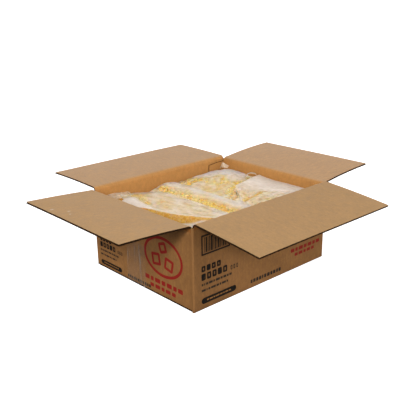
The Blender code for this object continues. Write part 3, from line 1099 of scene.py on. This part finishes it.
def pillow(name, x, y, top, inset, material, piece_name, **fields):
    """A closed pillow in a bag's place: a gridded top, plain sides and a flat bottom."""
    rows, cols = x.shape
    points = np.stack([x, y, top], axis=-1).reshape(-1, 3)
    index = np.arange(rows * cols).reshape(rows, cols)
    rim = np.concatenate([index[:-1, 0], index[-1, :-1], index[:0:-1, -1], index[0, :0:-1]])
    ring, levels = points[rim], [points]
    shares = (0.25, 0.5, 0.75, 0.93, 1.0)
    added = len(shares) * len(rim)
    for share in shares:
        low = ring.copy()
        low[:, 2] = mix(ring[:, 2], BAG_FLOOR + inset, share)
        if share == 1.0:
            low[:, :2] = mix(low[:, :2], ring.mean(axis=0)[:2], 0.06)
        levels.append(low)
    sides = np.vstack([rim, len(points) + np.arange(added).reshape(len(shares), -1)])
    faces = cells(index) + cells(np.hstack([sides, sides[:, :1]])) + [sides[-1].tolist()]
    piece = new_piece(piece_name, levels, faces, [material])
    for label, field in fields.items():
        set_value(piece, label, np.pad(field.ravel(), (0, added), constant_values=field.mean()))
    ride(piece)
    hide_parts(f"bag_{name}")
    return piece


def bag_grid(name, spacing, inset):
    x0, x1, low, high, _ = BAGS[name]
    middle = np.array((x0 + x1) / 2)
    across = int((x1 - x0) / spacing)
    along = int(max(float(high(middle) - low(middle)), 110 * MM) / spacing)
    u, v = np.linspace(0, 1, across + 1)[:, None], np.linspace(0, 1, along + 1)
    x = mix(x0 + inset, x1 - inset, u) + 0 * v
    return x, mix(low(x) + inset, high(x) - inset, v)


def fruit_height(dice, x, y, base):
    """How high the dice stand, or 8 mm below the film's form where they are lower."""
    bm = bmesh.new()
    bm.from_mesh(dice.data)
    tree = BVHTree.FromBMesh(bm)
    bm.free()
    height = base - 8 * MM
    for at in np.ndindex(x.shape):
        found = tree.ray_cast(Vector((x[at], y[at], base[at] + 15 * MM)), Vector((0, 0, -1)))[0]
        if found:
            height[at] = max(height[at], found.z)
    return height


def make_bag(name, seed, fruit, film, core):
    """A bag's dice, the core below them and the film over them."""
    dice = make_dice(name, seed, fruit)
    x, y = bag_grid(name, 3 * MM, 1.5 * MM)
    pillow(name, x, y, film_form(name, x, y) - 8.5 * MM, 2 * MM, core, f"core_{name}")

    x, y = bag_grid(name, 1.1 * MM, -0.45 * MM)
    base = film_form(name, x, y)
    height = fruit_height(dice, x, y, base)
    clear = clearness(name, x, y)
    pressed = white = 0.0 * x
    if name == "left":
        pressed = pressed_band(x, y)
    elif name == "front_right":
        pressed = 0.9 * pressed_fold(x, y, 4)
    elif name == "back_right":
        white = hump_at(x, y)
    cling = softened(widest(height - base, 2), 1.2) + 0.25 * MM
    slack = 0.18 * softened(widest(height - base, 3) + 2 * MM, 2.4)
    slack += film_relief(name, x, y, np.random.default_rng(seed + 100))
    calm = 0.55 if name == "left" else 0.9
    top = base + mix(slack, cling, calm * smooth(clear * 1.15) * (1 - 0.8 * pressed))
    short = np.maximum(height + 0.15 * MM - top, 0)
    top = np.maximum(top + softened(widest(short, 2), 1.1), height + 0.05 * MM)
    top = mix(base - 0.3 * MM, top, beyond(rim_distance(name, x, y), 0, 1.6))
    made = pillow(name, x, y, top, 0.0, film, f"film_{name}", clear=clear, pressed=pressed, white=white)
    made.visible_shadow = False


# Loose film


def curve_through(points, count):
    """Points on a smooth curve through the first axis of a grid of control points."""
    points = np.asarray(points, float)
    padded = np.concatenate([2 * points[:1] - points[1:2], points, 2 * points[-1:] - points[-2:-1]])
    at = np.linspace(0, len(points) - 1, count)
    cell = np.minimum(at.astype(int), len(points) - 2)
    t = (at - cell).reshape((-1,) + (1,) * (points.ndim - 1))
    a, b, c, d = (padded[cell + i] for i in range(4))
    return 0.5 * (2 * b + (c - a) * t + (2 * a - 5 * b + 4 * c - d) * t**2 + (3 * b - a - 3 * c + d) * t**3)


def film_sheet(name, rows, film, clear, wrinkle, size, seed, count=44):
    """A loose, finely wrinkled piece of film through rows of control points in millimetres."""
    grid = curve_through(np.swapaxes(curve_through(rows, count), 0, 1), count)
    x, y, z = np.moveaxis(grid, -1, 0)
    normal = np.cross(np.gradient(grid, axis=0), np.gradient(grid, axis=1))
    normal /= np.linalg.norm(normal, axis=-1, keepdims=True) + 1e-9
    if normal[..., 2].mean() < 0:
        normal = -normal
    ripple = noise_field(x + z, y, size, seed) + np.abs(noise_field(x, y - z, size / 2.3, seed + 1)) * 0.5
    front = (grid + normal * ripple[..., None] * wrinkle) * MM
    shells = Shells()
    shells.slab(front, front - normal * 0.12 * MM, front)
    piece = shells.finish(name, [film], sharp=70)
    clear = np.clip(clear + 0.12 * noise_field(x, y, 6.0, seed + 2), 0, 1)
    set_value(piece, "clear", np.tile(clear.ravel(), 2))
    piece.visible_shadow = False
    ride(piece)


def panel_rows():
    """The folded panel, from the line where the right-hand bags meet to the golden fold."""
    x = np.array([50, 58, 66, 76, 88, 102, 116, 130, 143.5]) * MM
    fold_x, fold_y = np.array(FOLD_LINE + ((92, -58), (112, -88), (143, -108))).T * MM
    first, last = meeting_y(x) + 1.2 * MM, np.interp(x, fold_x, fold_y) + 1.5 * MM
    sunk = 2.2 * beyond(-x, -62, 12)
    shares, rises = (0.0, 0.03, 0.12, 0.35, 0.65, 0.9, 1.0), (-1.6, 0.0, 0.5, 0.6, 0.5, 0.1, -1.2)
    rows = []
    for share, rise in zip(shares, rises):
        y = mix(first, last, share)
        z = film_form("front_right", np.minimum(x, 142 * MM), np.minimum(y, meeting_y(x) - 9 * MM))
        rows.append(np.stack([x, y, z + (rise - sunk) * MM], axis=-1) / MM)
    return rows


def make_loose_film(film):
    """The fin, the corner, the tip, the tuck and the panel of slack film on the bags."""
    film_sheet("film_fin", [
        [(-111, 12, 117.6), (-110, 13, 118.2), (-108.5, 14, 117.8)],
        [(-119, 29, 118.2), (-114, 30, 120.6), (-107, 31, 118.4)],
        [(-128, 44, 118.4), (-115, 50, 122.4), (-102, 58, 118.6)],
        [(-133, 59, 118.4), (-114, 69, 122.8), (-97, 82, 118.8)],
        [(-133, 68, 117.8), (-121, 77, 120.6), (-109, 86, 117.8)],
        [(-129, 76, 117.0), (-122, 81, 118.2), (-115, 87, 117.0)],
    ], film, 0.02, 0.3, 14.0, 1)
    film_sheet("film_corner", [
        [(-132, 119.2, 119.0), (-114, 119.2, 120.4), (-97, 119.2, 118.6), (-82, 119.2, 116.6)],
        [(-134, 110, 118.8), (-116, 109, 120.0), (-99, 109, 119.0), (-84, 110, 117.0)],
        [(-135, 90, 116.6), (-118, 92, 118.4), (-103, 96, 118.2), (-90, 99, 117.2)],
    ], film, 0.50, 0.7, 8.0, 2)
    film_sheet("film_tip", [
        [(133, 116.2, 115.5), (139, 115.6, 116.5), (145.5, 108, 115.5)],
        [(137, 116.3, 122.0), (141, 115.0, 123.0), (145.8, 105, 119.5)],
        [(139.6, 116.4, 127.4), (141.6, 115.8, 126.2), (145.9, 103, 121.0)],
    ], film, 0.42, 0.5, 6.0, 3, 30)
    film_sheet("film_tuck", [
        [(115, 29, 117.5), (119, 30.5, 122.6), (126, 28, 124.8), (132, 23, 123.6), (135, 19, 119.5)],
        [(120, 34, 117.5), (124, 35.5, 122.2), (131, 33, 124.6), (137, 28, 123.4), (140, 24, 119.5)],
        [(126, 42, 116.5), (130, 42, 119.0), (136, 40, 121.0), (142, 36, 120.6), (145, 31, 118.5)],
    ], film, 0.40, 0.5, 6.0, 4, 34)
    down = np.linspace(0, 1, 90)
    along = down[:, None]
    fold = smooth((down - 0.86) / 0.14) * smooth((0.40 - along) / 0.1)
    clear = 0.08 + 0.44 * smooth((0.66 - along) / 0.5) * smooth((down + 0.1) / 0.6) + 0.7 * fold
    film_sheet("film_panel", panel_rows(), film, clear, 0.25, 16.0, 5, len(down))


def make_bags():
    fruit, core = fruit_material(), core_material()
    film = film_material("bag_film", 0.8, (0.75, 0.655, 0.565))
    for seed, name in enumerate(BAGS, 1):
        make_bag(name, seed, fruit, film, core)
    make_loose_film(film_material("loose_film", 0.0, (0.83, 0.73, 0.635)))


# Studio

# Azimuth (from +X, turning to +Y), elevation, size, power
LAMPS = {
    "key": (-146, 31, 0.5, 37.5),
    "low": (-162, 17, 0.6, 19.0),
    "fill": (-132, 15, 1.6, 15.0),
    "right": (-60, 12, 1.6, 32.0),
    "front": (-104, 17, 0.6, 2.0),
    "back": (48, 9, 2.2, 18.0),
    "behind_right": (4, 5, 1.6, 34.0),
    "behind_left": (94, 5, 1.6, 34.0),
}
LAMP_DISTANCE, LAMP_AIM = 3.0, Vector((0, 0, 0.1))
# The surroundings' brightness below the horizon, just above it and overhead
ROOM = (0.0, 0.52, 0.48)
WHITE = (1.0, 1.0, 1.0, 1.0)


def lamp(name, azimuth, elevation, size, power):
    """A round soft lamp, aimed at the carton."""
    data = bpy.data.lights.new(name, "AREA")
    data.shape, data.size, data.energy = "DISK", size, power
    item = link(name, data)
    turn, rise = radians(azimuth), radians(elevation)
    way = Vector((cos(turn) * cos(rise), sin(turn) * cos(rise), sin(rise)))
    item.location = way * LAMP_DISTANCE + LAMP_AIM
    item.rotation_euler = way.to_track_quat("Z", "Y").to_euler()


def make_floor():
    """A white ground that only the camera sees."""
    bm = bmesh.new()
    bmesh.ops.create_circle(bm, cap_ends=True, segments=64, radius=30.0)
    mesh = bpy.data.meshes.new("floor")
    bm.to_mesh(mesh)
    bm.free()
    paint = Paint("floor_white", 0.9)
    paint.colour = (0.6, 0.6, 0.6, 1.0)
    paint.set("Emission Color", WHITE)
    paint.set("Emission Strength", 0.95)
    mesh.materials.append(paint.done())
    floor = link("floor", mesh)
    floor.location = (0, 0, -0.1 * MM)
    floor.visible_diffuse = floor.visible_glossy = floor.visible_transmission = floor.visible_shadow = False


def make_world():
    """An even room for the light, and a white background for the camera."""
    world = bpy.data.worlds.new("studio")
    nodes = Nodes(world)
    background = world.node_tree.nodes["Background"]
    way = nodes.add("ShaderNodeTexCoord").outputs["Generated"]
    rise = nodes.add("ShaderNodeSeparateXYZ", {0: way}).outputs[2]
    low, horizon, high = ROOM
    glow = nodes.ramp(rise, -0.05, 0.03, low, horizon)
    glow = nodes.total(glow, nodes.ramp(rise, 0.25, 0.75, 0.0, high - horizon))
    seen = nodes.product(nodes.add("ShaderNodeLightPath").outputs["Is Camera Ray"], 1.05)
    nodes.put(nodes.math("MAXIMUM", glow, seen), background.inputs["Strength"])
    nodes.put(WHITE, background.inputs["Color"])
    bpy.context.scene.world = world


def make_camera():
    """The photo's camera, fitted to the carton's corners and aimed at a place on the floor."""
    azimuth, elevation, roll = radians(-42.74), radians(18.97), radians(-0.69)
    aim, distance = Vector((0.18637, 0.20831, 0.0)), 1.3794
    forward = Vector((-sin(azimuth) * cos(elevation), cos(azimuth) * cos(elevation), -sin(elevation)))
    right = Vector((cos(azimuth), sin(azimuth), 0))
    level_turn = Matrix((right, right.cross(forward), -forward)).transposed()
    camera = link("camera", bpy.data.cameras.new("camera"))
    camera.data.sensor_width, camera.data.lens = 36.0, 56.03
    camera.data.clip_start, camera.data.clip_end = 0.05, 100.0
    camera.rotation_mode = "QUATERNION"
    camera.location = aim - forward * distance
    camera.rotation_quaternion = (level_turn @ Matrix.Rotation(roll, 3, "Z")).to_quaternion()
    bpy.context.scene.camera = camera


make_camera()
board_looks = make_board_materials()
make_carton(board_looks)
for flap in FLAPS:
    make_flap(flap, board_looks)
    make_fold(flap, board_looks)
make_print()
make_tape()
make_bags()
make_floor()
make_world()
for lamp_name, settings in LAMPS.items():
    lamp(lamp_name, *settings)
bpy.context.scene.view_settings.view_transform = "Standard"
